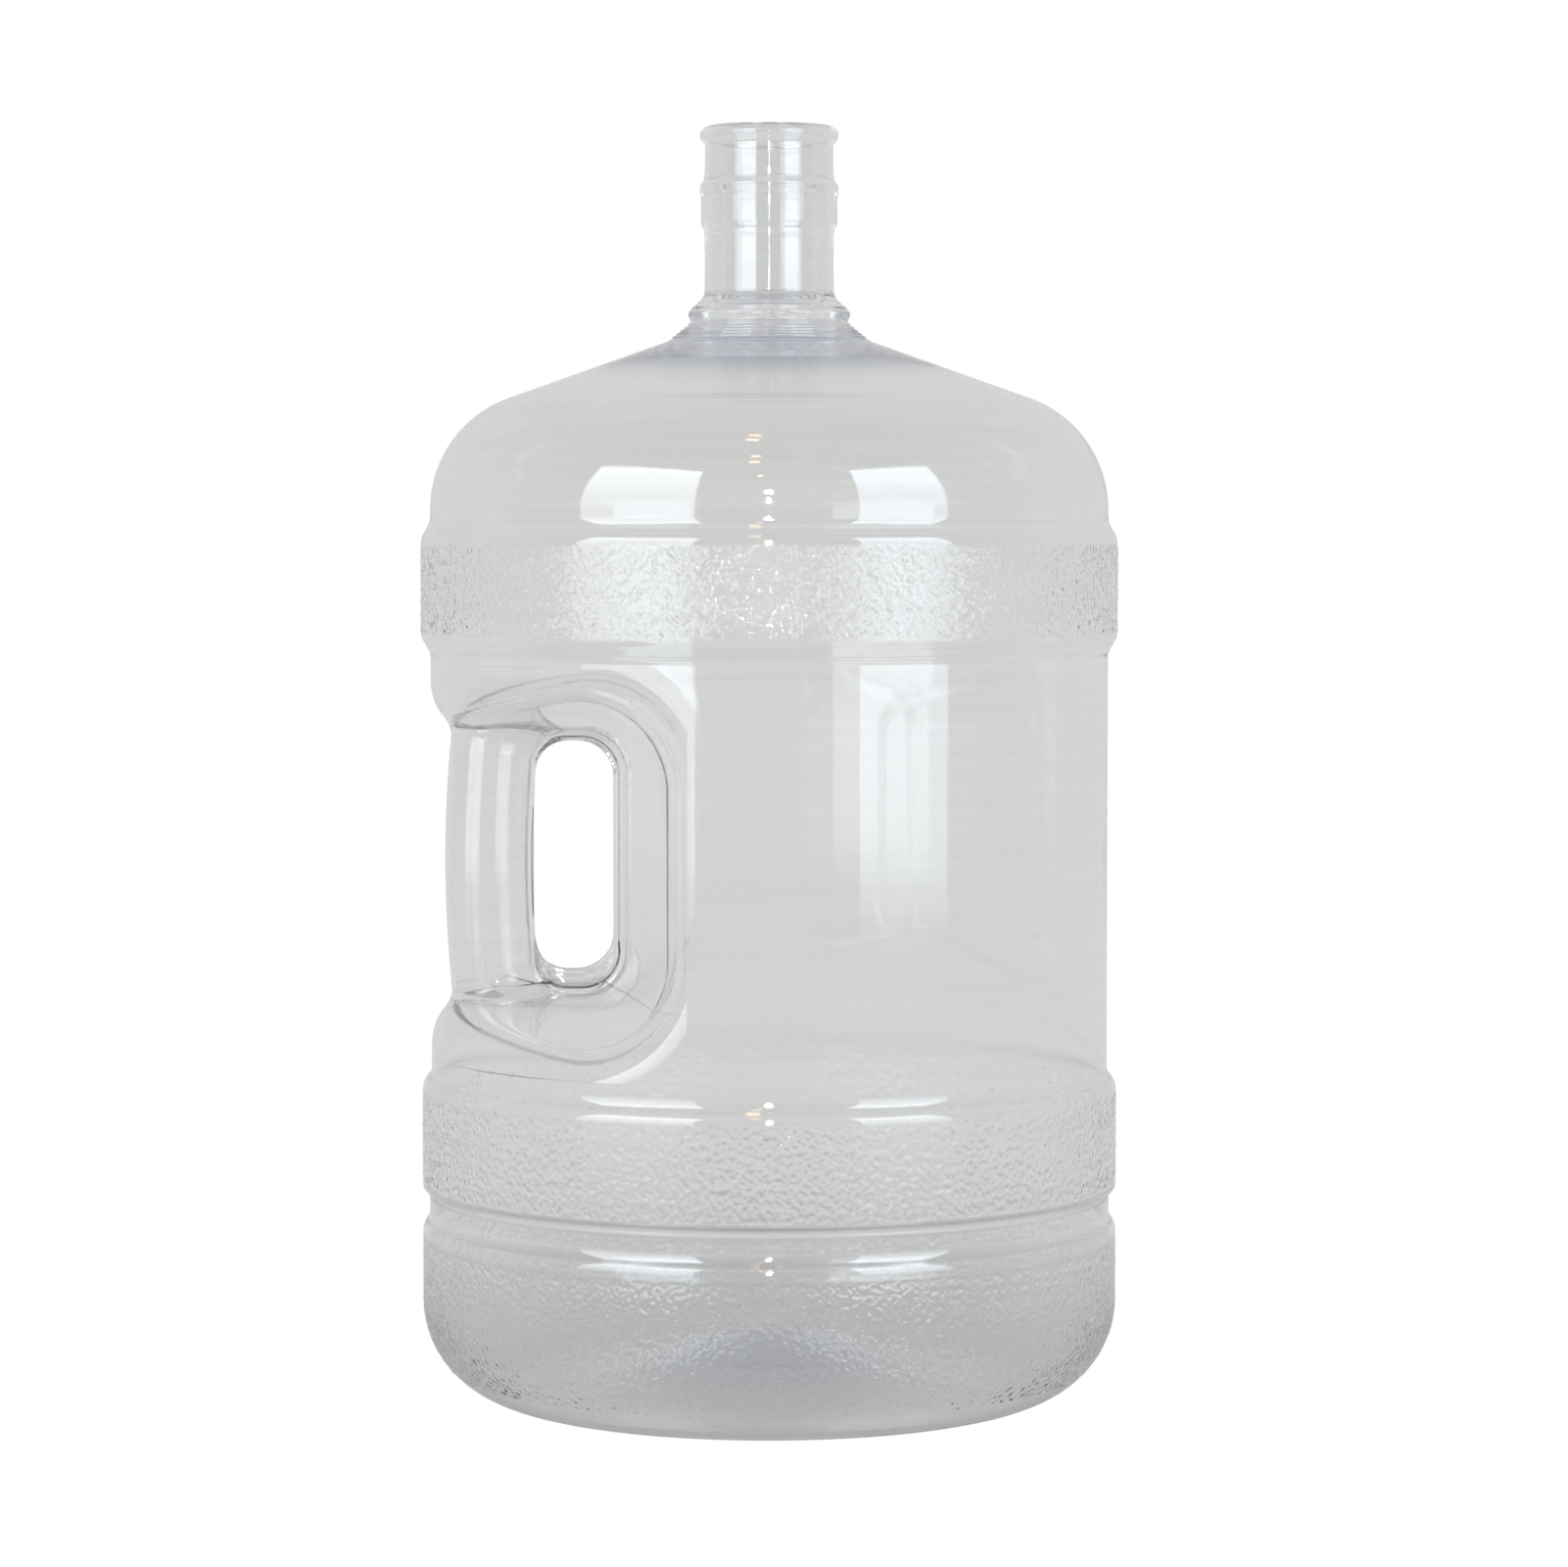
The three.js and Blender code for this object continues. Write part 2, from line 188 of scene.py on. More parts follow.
def collar_outline():
    """The flare down to its lip and groove, then the cone with its fine ribs."""
    flare = arc(SLEEVE_R + FLARE_BEND, FLARE_Z, FLARE_BEND, 180, 225)
    share = np.linspace(0, 1, 30)[1:]
    start_r, start_z = flare[-1]
    ridges = 0.16 * np.sin(share * 4 * math.pi) * smoothstep(0.3, 0.6, share)
    flare += list(zip(
        start_r + (LIP_R - 0.1 - start_r) * share + ridges,
        start_z + (GROOVE_Z + 3.6 - start_z) * share + ridges,
    ))
    groove = [(LIP_R - 0.1, GROOVE_Z + 2.5), (LIP_R - 0.6, GROOVE_Z + 1.3), (30.6, GROOVE_Z + 0.2)]
    share = np.linspace(0, 1, 80)
    ribs = RIB_HEIGHT * np.sin(share * RIB_COUNT * 2 * math.pi) * smoothstep(1, 0.9, share)
    cone_z = GROOVE_Z - 1
    cone = list(zip(
        RIBS_START_R + (RIBS_R - RIBS_START_R) * share + ribs,
        cone_z + (RIBS_END_Z - cone_z) * share + ribs,
    ))
    return flare + groove + cone


def body_outline():
    """The shoulder's bend, the wall with its steps, the heel and the pushed-up base."""
    bend = arc(WALL_R - BEND_R, BEND_Z, BEND_R, 90 - math.degrees(SHOULDER_SLOPE), 0)
    heel = BAND_R - HEEL_Z
    dome_r = np.linspace(DOME_R, 0, 60)
    dome = list(zip(dome_r, DOME_RISE * (1 + np.cos(math.pi * dome_r / DOME_R)) / 2))
    return [
        *bend,
        *step(WALL_R, BAND_R, UPPER_RISE, UPPER_FLANK),
        *step(BAND_R, WALL_R, UPPER_FALL, UPPER_FLANK),
        *step(WALL_R, BAND_R, LOWER_RISE, LOWER_FLANK),
        *step(BAND_R, WAIST_R, WAIST_FALL, FALL_FLANK),
        *step(WAIST_R, BAND_R, WAIST_RISE, RISE_FLANK),
        *arc(heel, HEEL_Z, HEEL_Z, 0, -90),
        *dome,
    ]


def resampled(line):
    steps = np.hypot(*np.diff(line, axis=0).T)
    along = np.concatenate([[0], np.cumsum(steps)])
    even = np.linspace(0, along[-1], round(along[-1] / SPACING) + 1)
    return np.column_stack([np.interp(even, along, line[:, k]) for k in (0, 1)])


def softened(line, sigma):
    """The line with its corners rounded off by a Gaussian of that width, and its ends kept."""
    reach = math.ceil(4 * sigma / SPACING)
    offsets = np.arange(-reach, reach + 1) * SPACING
    weights = np.exp(-0.5 * (offsets / sigma) ** 2)
    weights /= weights.sum()
    before = 2 * line[0] - line[reach:0:-1]
    after = 2 * line[-1] - line[-2:-reach - 2:-1]
    padded = np.vstack([before, line, after])
    return np.column_stack([np.convolve(padded[:, k], weights, "valid") for k in (0, 1)])


def side_normals(line):
    """Normals on the outer side of a line that runs down the jug."""
    along = np.gradient(line, axis=0)
    normals = np.column_stack([-along[:, 1], along[:, 0]])
    return normals / np.linalg.norm(normals, axis=1)[:, None]


def inner_line(outer):
    """The inner side of the wall: a straight bore in the neck, then an even offset."""
    r, z = outer.T
    below_neck = np.arange(len(r)) > np.argmax(z < FLARE_Z)
    thick = WALL + (COLLAR_WALL - WALL) * smoothstep(COLLAR_WALL_R, RIBS_R - 6, r) * (z > BEND_Z)
    thick = thick + (BASE_WALL - WALL) * smoothstep(HEEL_Z, FOOT_Z, z) * (z < BEND_Z)
    soft = np.where(z[:, None] > CONE_MIDDLE_Z, softened(outer, 2.5), softened(outer, 0.8))
    offset = soft - side_normals(soft) * thick[:, None]
    for cut in (BAY_TOP, BAY_BOTTOM):
        straight = smoothstep(4, 1.5, np.abs(z - cut))[:, None]
        offset += straight * (outer - (WALL, 0) - offset)
    bore = np.column_stack([np.full(len(r), BORE_R), np.minimum(z, MOUTH_Z - RIM_RADIUS)])
    share = np.where(below_neck, smoothstep(FLARE_Z - 3, GROOVE_Z, z), 0)[:, None]
    inner = bore + share * (offset - bore)
    inner[-1, 0] = 0
    return inner


outline = resampled(np.array(neck_outline() + collar_outline() + body_outline()))
OUTER = softened(outline, 0.45)
OUTER[-1, 0] = 0
INNER = inner_line(OUTER)
OUTER_NORMALS = side_normals(OUTER)
INNER_NORMALS = -side_normals(INNER)


def index_at(height):
    """The first outline point at or below a height."""
    return int(np.argmax(OUTER[:, 1] <= height))


def thinned(line, first, last, tolerance=0.006, longest=9.0):
    """Indices from first to last that keep the line's shape to a tolerance."""
    kept = [first]
    while kept[-1] < last:
        start = kept[-1]
        end = start + 1
        while end < last:
            chord = line[end + 1] - line[start]
            length = np.hypot(*chord)
            span = line[start + 1:end + 1] - line[start]
            away = np.abs(span[:, 0] * chord[1] - span[:, 1] * chord[0]).max()
            if length > longest or away > tolerance * max(length, 1e-9):
                break
            end += 1
        kept.append(end)
    return kept


# ---- meshes ------------------------------------------------------------------------------

def turned(line, normals, rows, sides):
    """Points and normals of a surface of revolution, as (row, side, xyz)."""
    angles = np.linspace(0, 2 * math.pi, sides, endpoint=False)
    around = np.stack([np.cos(angles), np.sin(angles)], axis=-1)

    def spun(values):
        flat = values[rows, 0][:, None, None] * around
        rise = np.broadcast_to(values[rows, 1][:, None, None], (len(rows), sides, 1))
        return np.concatenate([flat, rise], axis=-1)

    return spun(line), spun(normals)


def strip(upper, lower, sides):
    """Quads between two rings of vertices, given the index of each ring's first one."""
    here = np.arange(sides)
    there = (here + 1) % sides
    return np.column_stack([upper + here, lower + here, lower + there, upper + there])


def ring_mesh(outer, inner, closed_top, closed_bottom):
    """Vertices, quads and interface flags of a closed ring of wall.

    outer and inner are (points, normals) as turned() gives them. A closed end is one where both
    sides meet, as at the bore's rim and at the middle of the base.
    """
    outer_rows, sides, _ = outer[0].shape
    inner_rows = inner[0].shape[0]
    inner_start = outer_rows * sides
    skin = [strip(i * sides, (i + 1) * sides, sides) for i in range(outer_rows - 1)]
    skin += [
        strip(inner_start + i * sides, inner_start + (i + 1) * sides, sides)[:, ::-1]
        for i in range(inner_rows - 1)
    ]
    ends = []
    if not closed_top:
        ends.append(strip(inner_start, 0, sides))
    if not closed_bottom:
        last_inner = inner_start + (inner_rows - 1) * sides
        ends.append(strip((outer_rows - 1) * sides, last_inner, sides))
    points = np.concatenate([outer[0].reshape(-1, 3), inner[0].reshape(-1, 3)])
    normals = np.concatenate([outer[1].reshape(-1, 3), inner[1].reshape(-1, 3)])
    faces = np.concatenate(skin + ends)
    is_interface = np.zeros(len(faces), bool)
    is_interface[len(np.concatenate(skin)):] = True
    return merged(points, normals, faces, is_interface)


def merged(points, normals, faces, is_interface):
    """The same mesh with coincident vertices joined and the faces they flatten taken out."""
    _, first, index = np.unique(
        np.round(points / 1e-5).astype(np.int64), axis=0, return_index=True, return_inverse=True,
    )
    faces = index.reshape(-1)[faces]
    shapes, flags = [], []
    for face, flag in zip(faces.tolist(), is_interface.tolist()):
        corners = list(dict.fromkeys(face))
        if len(corners) > 2:
            shapes.append(corners)
            flags.append(flag)
    return points[first], normals[first], shapes, np.array(flags)


def make_mesh(name, points, faces):
    mesh = bpy.data.meshes.new(name)
    mesh.from_pydata((np.asarray(points) * MM).tolist(), [], faces)
    mesh.validate()
    return mesh


def add_piece(node, mesh, normals, is_interface):
    """Shows a zone's mesh in place of its CAD node, with the material of that node's slot."""
    mesh.materials.clear()
    mesh.materials.append(MATERIALS[SLOTS[node]])
    mesh.materials.append(MATERIALS["interface"])
    mesh.polygons.foreach_set("material_index", is_interface.astype(np.int32))
    mesh.polygons.foreach_set("use_smooth", np.ones(len(mesh.polygons), bool))
    mesh.normals_split_custom_set_from_vertices(normals.tolist())
    piece = bpy.data.objects.new(f"{node}_shell", mesh)
    bpy.context.scene.collection.objects.link(piece)
    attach(piece, BODY)
    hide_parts(node)
    return piece


# ---- turned zones ------------------------------------------------------------------------

def pebble_field(turn, down, seed):
    """Heights about 0 to 1 of close-set rounded pebbles, over a full turn and down the wall."""
    around = round(2 * math.pi * BAND_R / PEBBLE_SIZE)
    rows = math.ceil(down.max() / PEBBLE_SIZE) + 3
    jitter = np.random.default_rng(seed).random((around, rows, 2))
    u = turn * around
    v = down / PEBBLE_SIZE + 1
    cell_u, cell_v = np.floor(u).astype(int), np.floor(v).astype(int)
    distances = []
    for du in (-1, 0, 1):
        for dv in (-1, 0, 1):
            seed_u, seed_v = cell_u + du, cell_v + dv
            spot = jitter[seed_u % around, seed_v % rows]
            distances.append(np.hypot(seed_u + spot[..., 0] - u, seed_v + spot[..., 1] - v))
    return np.exp(-5 * np.stack(distances) ** 2).sum(axis=0)


def pebbled(surface, rows, top, bottom, rise, seed):
    """A turned surface with pebbles of that rise between two heights, fading out at both."""
    points, normals = surface
    count, sides, _ = points.shape
    turn = np.broadcast_to(np.arange(sides) / sides, (count, sides))
    down = np.broadcast_to((np.array(rows) - rows[0])[:, None] * SPACING, (count, sides))
    fade = pebble_fade(points[..., 2], top, bottom)
    height = rise * (pebble_field(turn, down, seed) - 0.6) * fade
    moved = points + normals * height[..., None]
    along = np.gradient(moved, axis=0)
    across = np.roll(moved, -1, axis=1) - np.roll(moved, 1, axis=1)
    tilted = np.cross(along, across)
    tilted /= np.linalg.norm(tilted, axis=-1, keepdims=True)
    return moved, np.where(fade[..., None] > 0, tilted, normals)


def pebble_fade(height, top, bottom):
    """1 between two heights, falling to 0 at both."""
    below_top = smoothstep(top, top - PEBBLE_FADE, height)
    return below_top * smoothstep(bottom, bottom + PEBBLE_FADE, height)


def mark_pebbles(mesh, points, normals, top, bottom):
    """Tells the material which part of the outer surface is pebbled."""
    radius = np.hypot(points[:, 0], points[:, 1])
    radial = (points[:, :2] * normals[:, :2]).sum(axis=1) / np.maximum(radius, 1)
    outside = radial > normals[:, 2]
    share = pebble_fade(points[:, 2], top, bottom) * outside
    mesh.attributes.new("pebbled", "FLOAT", "POINT").data.foreach_set("value", share)


def add_turned_zone(node, first, last, sides, pebbles=None, closed_top=False, closed_bottom=False):
    """A ring of wall between two outline points. pebbles is (top, bottom, rise, seed)."""
    outer_rows = thinned(OUTER, first, last)
    if pebbles:
        top, bottom, rise, seed = pebbles
        dense = [i for i in range(first, last, PEBBLE_ROWS) if bottom - 1 < OUTER[i, 1] < top + 1]
        smooth = [i for i in outer_rows if not dense[0] <= i <= dense[-1]]
        outer_rows = sorted(set(dense + smooth + [first, last]))
    outer = turned(OUTER, OUTER_NORMALS, outer_rows, sides)
    if pebbles:
        outer = pebbled(outer, outer_rows, top, bottom, rise, seed)
    inner = turned(INNER, INNER_NORMALS, thinned(INNER, first, last), sides)
    points, normals, faces, flags = ring_mesh(outer, inner, closed_top, closed_bottom)
    piece = add_piece(node, make_mesh(node, points, faces), normals, flags)
    if pebbles:
        mark_pebbles(piece.data, points, normals, top, bottom)


def add_turned_zones():
    cuts = {
        "mouth_bead": 0,
        "neck_tube": index_at(low_of("mouth_bead", Z)),
        "cap_ring": index_at(RING_TOP),
        "neck_sleeve": index_at(RING_BOTTOM),
        "collar_flare": index_at(FLARE_Z),
        "collar_ribs": index_at(GROOVE_Z),
        "shoulder_cone": index_at(RIBS_END_Z),
        "shoulder_bend": int(np.argmax(OUTER[:, 0] >= CONE_R)),
        "upper_band": index_at(BEND_Z),
        "bay": index_at(BAY_TOP),
        "lower_band": index_at(BAY_BOTTOM),
        "waist_groove": index_at(WAIST_TOP),
        "base_band": index_at(WAIST_BOTTOM),
        "heel_ring": index_at(HEEL_Z),
        "foot_ring": index_at(FOOT_Z),
    }
    foot = cuts["foot_ring"]
    cuts["base_dome"] = foot + int(np.argmax(OUTER[foot:, 0] <= DOME_R))
    names = list(cuts)
    starts = [*cuts.values(), len(OUTER) - 1]
    spans = {name: (starts[i], starts[i + 1]) for i, name in enumerate(names)}
    neck = names[:names.index("collar_ribs")]
    pebbles = {               # top, bottom, rise and seed
        "upper_band": (UPPER_RISE[1], UPPER_FALL[0], 0.3, 11),
        "lower_band": (LOWER_RISE[1], WAIST_TOP + 1, 0.2, 12),
        "base_band": (WAIST_BOTTOM - 1, HEEL_Z - PEBBLES_ON, 0.1, 13),
        "heel_ring": (HEEL_Z + PEBBLES_ON, FOOT_Z - PEBBLES_ON, 0.15, 14),
        "foot_ring": (FOOT_Z + PEBBLES_ON, FOOT_SMOOTH_Z, 0.15, 15),
    }
    for node, (first, last) in spans.items():
        if node == "bay":
            continue
        sides = NECK_SIDES if node in neck else BODY_SIDES
        if node in pebbles:
            sides = PEBBLE_SIDES
        add_turned_zone(
            node, first, last, sides, pebbles.get(node),
            closed_top=node == "mouth_bead", closed_bottom=node == "base_dome",
        )
    return spans["bay"]


# ---- handle bay --------------------------------------------------------------------------
# The bay is worked out as fields that are negative inside, zero on the surface and about the
# distance from it elsewhere, so that fillets are rounded unions and intersections.

def rounded_both(a, b, radius):
    """Inside both, with a rounded edge."""
    edge = np.hypot(np.maximum(a + radius, 0), np.maximum(b + radius, 0))
    return np.minimum(np.maximum(a, b), -radius) + edge


def rounded_either(a, b, radius):
    """Inside either, with a fillet between them."""
    return -rounded_both(-a, -b, radius)


def recess_field(x, y, z):
    """The space that both halves of the mould take out of the wall, widening outwards."""
    out = np.maximum(np.abs(y) - WEB / 2, 0)
    side = (x - RECESS_SIDE - out * math.tan(SIDE_DRAFT)) * math.cos(SIDE_DRAFT)
    floor = (RECESS_FLOOR - out * math.tan(FLOOR_DRAFT) - z) * math.cos(FLOOR_DRAFT)
    ceiling = (z - RECESS_CEILING - out * math.tan(CEILING_DRAFT)) * math.cos(CEILING_DRAFT)
    corner = RECESS_CORNER + out * math.tan(SIDE_DRAFT)
    return rounded_both(side, np.maximum(floor, ceiling), corner)


def wall_field(x, y, z):
    """The jug's wall as a solid body, less the recess, with a filleted edge between them."""
    fillet = EDGE_FILLET + (LOBE_FILLET - EDGE_FILLET) * smoothstep(-70, -105, x)
    return rounded_both(np.hypot(x, y) - WALL_R, -recess_field(x, y, z), fillet)


def grip_field(x, y, z):
    middle = (RECESS_FLOOR + RECESS_CEILING) / 2
    half = (RECESS_CEILING - RECESS_FLOOR) / 2
    share = np.clip((z - middle) / half, -1.1, 1.1)
    return np.hypot(x - GRIP_AXIS - GRIP_BOW * share ** 2, y) - GRIP_R


def hole_field(x, z):
    """Distance from the finger hole's edge, negative in the hole."""
    half_x = (HOLE["right"] - HOLE["left"]) / 2
    half_z = (HOLE["top"] - HOLE["bottom"]) / 2
    corner = HOLE["corner"]
    away_x = np.abs(x - (HOLE["right"] + HOLE["left"]) / 2) - half_x + corner
    away_z = np.abs(z - (HOLE["top"] + HOLE["bottom"]) / 2) - half_z + corner
    outside = np.hypot(np.maximum(away_x, 0), np.maximum(away_z, 0))
    return outside + np.minimum(np.maximum(away_x, away_z), 0) - corner


def web_field(x, y, z):
    """The pinched web, thinner in a narrow margin round the finger hole."""
    from_hole = hole_field(x, z)
    half = WEB / 2 - WEB_MARGIN * smoothstep(3.4, 1.6, from_hole)
    plate = np.abs(y) - half
    frame_x = np.maximum(GRIP_AXIS - x, x - RECESS_SIDE - 1)
    frame_z = np.maximum(RECESS_FLOOR - 1 - z, z - RECESS_CEILING - 1)
    plate = np.maximum(plate, np.maximum(frame_x, frame_z))
    return rounded_both(plate, -from_hole, HOLE_EDGE)


def grip_fillet(x):
    """Radius between the grip and the recess, wider on the side of the finger hole."""
    return 4 + 9 * smoothstep(-118, -94, x)


def outer_field(x, y, z):
    body = rounded_either(wall_field(x, y, z), grip_field(x, y, z), grip_fillet(x))
    return rounded_either(body, web_field(x, y, z), WEB_FILLET)


def void_field(x, y, z):
    stretched = smoothstep(4.8, 2.5, recess_field(x, y, z))
    wall = WALL + (RECESS_WALL - WALL) * stretched
    hollow = wall_field(x, y, z) + wall
    return rounded_either(hollow, grip_field(x, y, z) + GRIP_WALL, grip_fillet(x) - 1)


def gradient(field, points):
    reach = 0.05
    x, y, z = points.T
    return np.column_stack([
        field(x + reach, y, z) - field(x - reach, y, z),
        field(x, y + reach, z) - field(x, y - reach, z),
        field(x, y, z + reach) - field(x, y, z - reach),
    ]) / (2 * reach)


def surface_net(field, low, high):
    """A closed mesh of quads on the zero surface of a field, within a box."""
    axes = [np.arange(a, b + NET_STEP, NET_STEP) for a, b in zip(low, high)]
    values = field(*np.meshgrid(*axes, indexing="ij"))
    for axis in range(3):
        for end in (0, -1):
            border = [slice(None)] * 3
            border[axis] = end
            values[tuple(border)] = NET_STEP
    cells = tuple(n - 1 for n in values.shape)
    total, count = np.zeros((3, *cells)), np.zeros(cells)
    crossings = []
    for axis in range(3):
        below = np.moveaxis(values, axis, 0)[:-1]
        above = np.moveaxis(values, axis, 0)[1:]
        crosses = (below < 0) != (above < 0)
        share = np.where(crosses, below / np.where(crosses, below - above, 1), 0)
        crosses, share = np.moveaxis(crosses, 0, axis), np.moveaxis(share, 0, axis)
        crossings.append((crosses, np.moveaxis(below < 0, 0, axis)))
        place = np.indices(crosses.shape).astype(float)
        place[axis] += share
        side_a, side_b = (axis + 1) % 3, (axis + 2) % 3
        for step_a in (0, 1):
            for step_b in (0, 1):
                part = [slice(None)] * 3
                part[side_a] = slice(step_a, step_a + cells[side_a])
                part[side_b] = slice(step_b, step_b + cells[side_b])
                part = tuple(part)
                total += np.where(crosses[part], place[(slice(None), *part)], 0)
                count += crosses[part]
    active = count > 0
    points = (total[:, active] / count[active]).T * NET_STEP + np.array([a[0] for a in axes])
    index = np.full(cells, -1)
    index[active] = np.arange(active.sum())
    faces = []
    for axis, (crosses, inside_below) in enumerate(crossings):
        edges = np.argwhere(crosses)
        step_a, step_b = np.eye(3, dtype=int)[[(axis + 1) % 3, (axis + 2) % 3]]
        corners = [edges - step_a - step_b, edges - step_b, edges, edges - step_a]
        quads = np.column_stack([index[tuple(c.T)] for c in corners])
        flip = ~inside_below[crosses]
        quads[flip] = quads[flip][:, ::-1]
        faces.append(quads)
    for _ in range(3):
        slope = gradient(field, points)
        move = field(*points.T)[:, None] * slope / np.maximum((slope ** 2).sum(axis=1), 0.1)[:, None]
        length = np.linalg.norm(move, axis=1, keepdims=True)
        points -= move * np.minimum(1, 0.5 * NET_STEP / np.maximum(length, 1e-9))
    return points, np.concatenate(faces).tolist()


def box_mesh(low, high):
    sides = list(zip(low, high))
    corners = [(x, y, z) for x in sides[X] for y in sides[Y] for z in sides[Z]]
    faces = [(0, 1, 3, 2), (4, 6, 7, 5), (0, 4, 5, 1), (2, 3, 7, 6), (0, 2, 6, 4), (1, 5, 7, 3)]
    return make_mesh("box", corners, faces)


def combined(mesh_a, mesh_b, operation):
    """The boolean of two closed meshes, as a new mesh."""
    pair = []
    for mesh in (mesh_a, mesh_b):
        pair.append(bpy.data.objects.new("operand", mesh))
        bpy.context.scene.collection.objects.link(pair[-1])
    cut = pair[0].modifiers.new("cut", "BOOLEAN")
    cut.operation = operation
    cut.solver = "MANIFOLD"
    cut.object = pair[1]
    result = bpy.data.meshes.new_from_object(
        pair[0].evaluated_get(bpy.context.evaluated_depsgraph_get()),
    )
    for operand in pair:
        bpy.data.objects.remove(operand)
    return result


def on_cut_faces(mesh, planes):
    """Whether each face of a mesh lies on one of the planes, each an axis and a place on it."""
    centres = np.empty(len(mesh.polygons) * 3)
    normals = np.empty(len(mesh.polygons) * 3)
    mesh.polygons.foreach_get("center", centres)
    mesh.polygons.foreach_get("normal", normals)
    centres, normals = centres.reshape(-1, 3) / MM, normals.reshape(-1, 3)
    flags = np.zeros(len(mesh.polygons), bool)
    for axis, place in planes:
        flags |= (np.abs(centres[:, axis] - place) < 2e-3) & (np.abs(normals[:, axis]) > 0.9999)
    return flags


def vertices_of(mesh):
    points = np.empty(len(mesh.vertices) * 3)
    mesh.vertices.foreach_get("co", points)
    return points.reshape(-1, 3) / MM


def bay_normals(points):
    """Normals from whichever of the shell's two surfaces each point is on."""
    outside = gradient(outer_field, points)
    inside = -gradient(void_field, points)
    on_outside = np.abs(outer_field(*points.T)) < np.abs(void_field(*points.T))
    normals = np.where(on_outside[:, None], outside, inside)
    return normals / np.maximum(np.linalg.norm(normals, axis=1, keepdims=True), 1e-9)


def add_handle_bay():
    """The recess's floor, side and ceiling and the grip, cut from one shell."""
    past = 3.2                # the fields' meshes run on past the cuts that end the bay
    low = (-REACH, -REACH, BAY_BOTTOM - past)
    high = (BAY_X + past, REACH, BAY_TOP + past)
    outside = make_mesh("outside", *surface_net(outer_field, low, high))
    low = (low[0], low[1], low[2] - past)
    high = (high[0] + past, high[1], high[2] + past)
    void = make_mesh("void", *surface_net(void_field, low, high))
    shell = combined(outside, void, "DIFFERENCE")
    cuts = {
        "recess_floor": ((-REACH, BAY_X), (BAY_BOTTOM, RECESS_BOTTOM)),
        "recess_side": ((GRIP_X, BAY_X), (RECESS_BOTTOM, RECESS_TOP)),
        "recess_ceiling": ((-REACH, BAY_X), (RECESS_TOP, BAY_TOP)),
        "handle_grip": ((-REACH, GRIP_X), (RECESS_BOTTOM, RECESS_TOP)),
    }
    for node, ((left, right), (bottom, top)) in cuts.items():
        block = box_mesh((left, -REACH, bottom), (right, REACH, top))
        mesh = combined(shell, block, "INTERSECT")
        planes = [(X, left), (X, right), (Z, bottom), (Z, top)]
        add_piece(node, mesh, bay_normals(vertices_of(mesh)), on_cut_faces(mesh, planes))


def add_body_wall(first, last):
    """The plain wall opposite the handle, a ring cut off where the handle's bay starts."""
    rows = [first, last]
    outer = turned(OUTER, OUTER_NORMALS, rows, BODY_SIDES)
    inner = turned(INNER, INNER_NORMALS, rows, BODY_SIDES)
    points, _, faces, _ = ring_mesh(outer, inner, False, False)
    past = 9
    block = box_mesh((BAY_X, -REACH, BAY_BOTTOM - past), (REACH, REACH, BAY_TOP + past))
    mesh = combined(make_mesh("body_wall", points, faces), block, "INTERSECT")
    here = vertices_of(mesh)
    flat = here * (1, 1, 0)
    radius = np.linalg.norm(flat, axis=1, keepdims=True)
    normals = flat / radius * np.where(radius > WALL_R - WALL / 2, 1, -1)
    planes = [(X, BAY_X), (Z, BAY_BOTTOM), (Z, BAY_TOP), (Z, OUTER[first, 1]), (Z, OUTER[last, 1])]
    add_piece("body_wall", mesh, normals, on_cut_faces(mesh, planes))


# ---- materials ---------------------------------------------------------------------------

class Tree:
    """A short way to write shader nodes."""

    def __init__(self, tree):
        self.tree = tree

    def add(self, kind, inputs=None, **settings):
        node = self.tree.nodes.new(kind)
        for name, value in settings.items():
            setattr(node, name, value)
        for key, value in (inputs or {}).items():
            if isinstance(value, bpy.types.NodeSocket):
                self.tree.links.new(value, node.inputs[key])
            else:
                node.inputs[key].default_value = value
        return node

    def math(self, operation, *values):
        return self.add("ShaderNodeMath", dict(enumerate(values)), operation=operation).outputs[0]


def new_material(name):
    material = bpy.data.materials.new(name)
    material.use_nodes = True
    material.node_tree.nodes.clear()
    return material, Tree(material.node_tree)


def unrolled(tree, place):
    """Coordinates in metres round the wall and up it, and the distance from the axis."""
    axes = tree.add("ShaderNodeSeparateXYZ", {"Vector": place}).outputs
    angle = tree.math("ARCTAN2", axes["Y"], axes["X"])
    along = tree.math("MULTIPLY", angle, WALL_R * MM)
    flat = tree.add("ShaderNodeCombineXYZ", {"X": along, "Y": axes["Z"]}).outputs[0]
    across = tree.math("MULTIPLY", axes["X"], axes["X"])
    across = tree.math("SQRT", tree.math("MULTIPLY_ADD", axes["Y"], axes["Y"], across))
    return flat, across, axes["Z"]


def streaks(tree, flat, scale):
    """Noise drawn out level round the wall, as handling and the mould leave on it."""
    stretched = tree.add("ShaderNodeMapping", {"Vector": flat, "Scale": scale}).outputs[0]
    noise = tree.add("ShaderNodeTexNoise", {"Vector": stretched, "Scale": 1.0, "Detail": 3.0})
    return noise.outputs["Fac"]


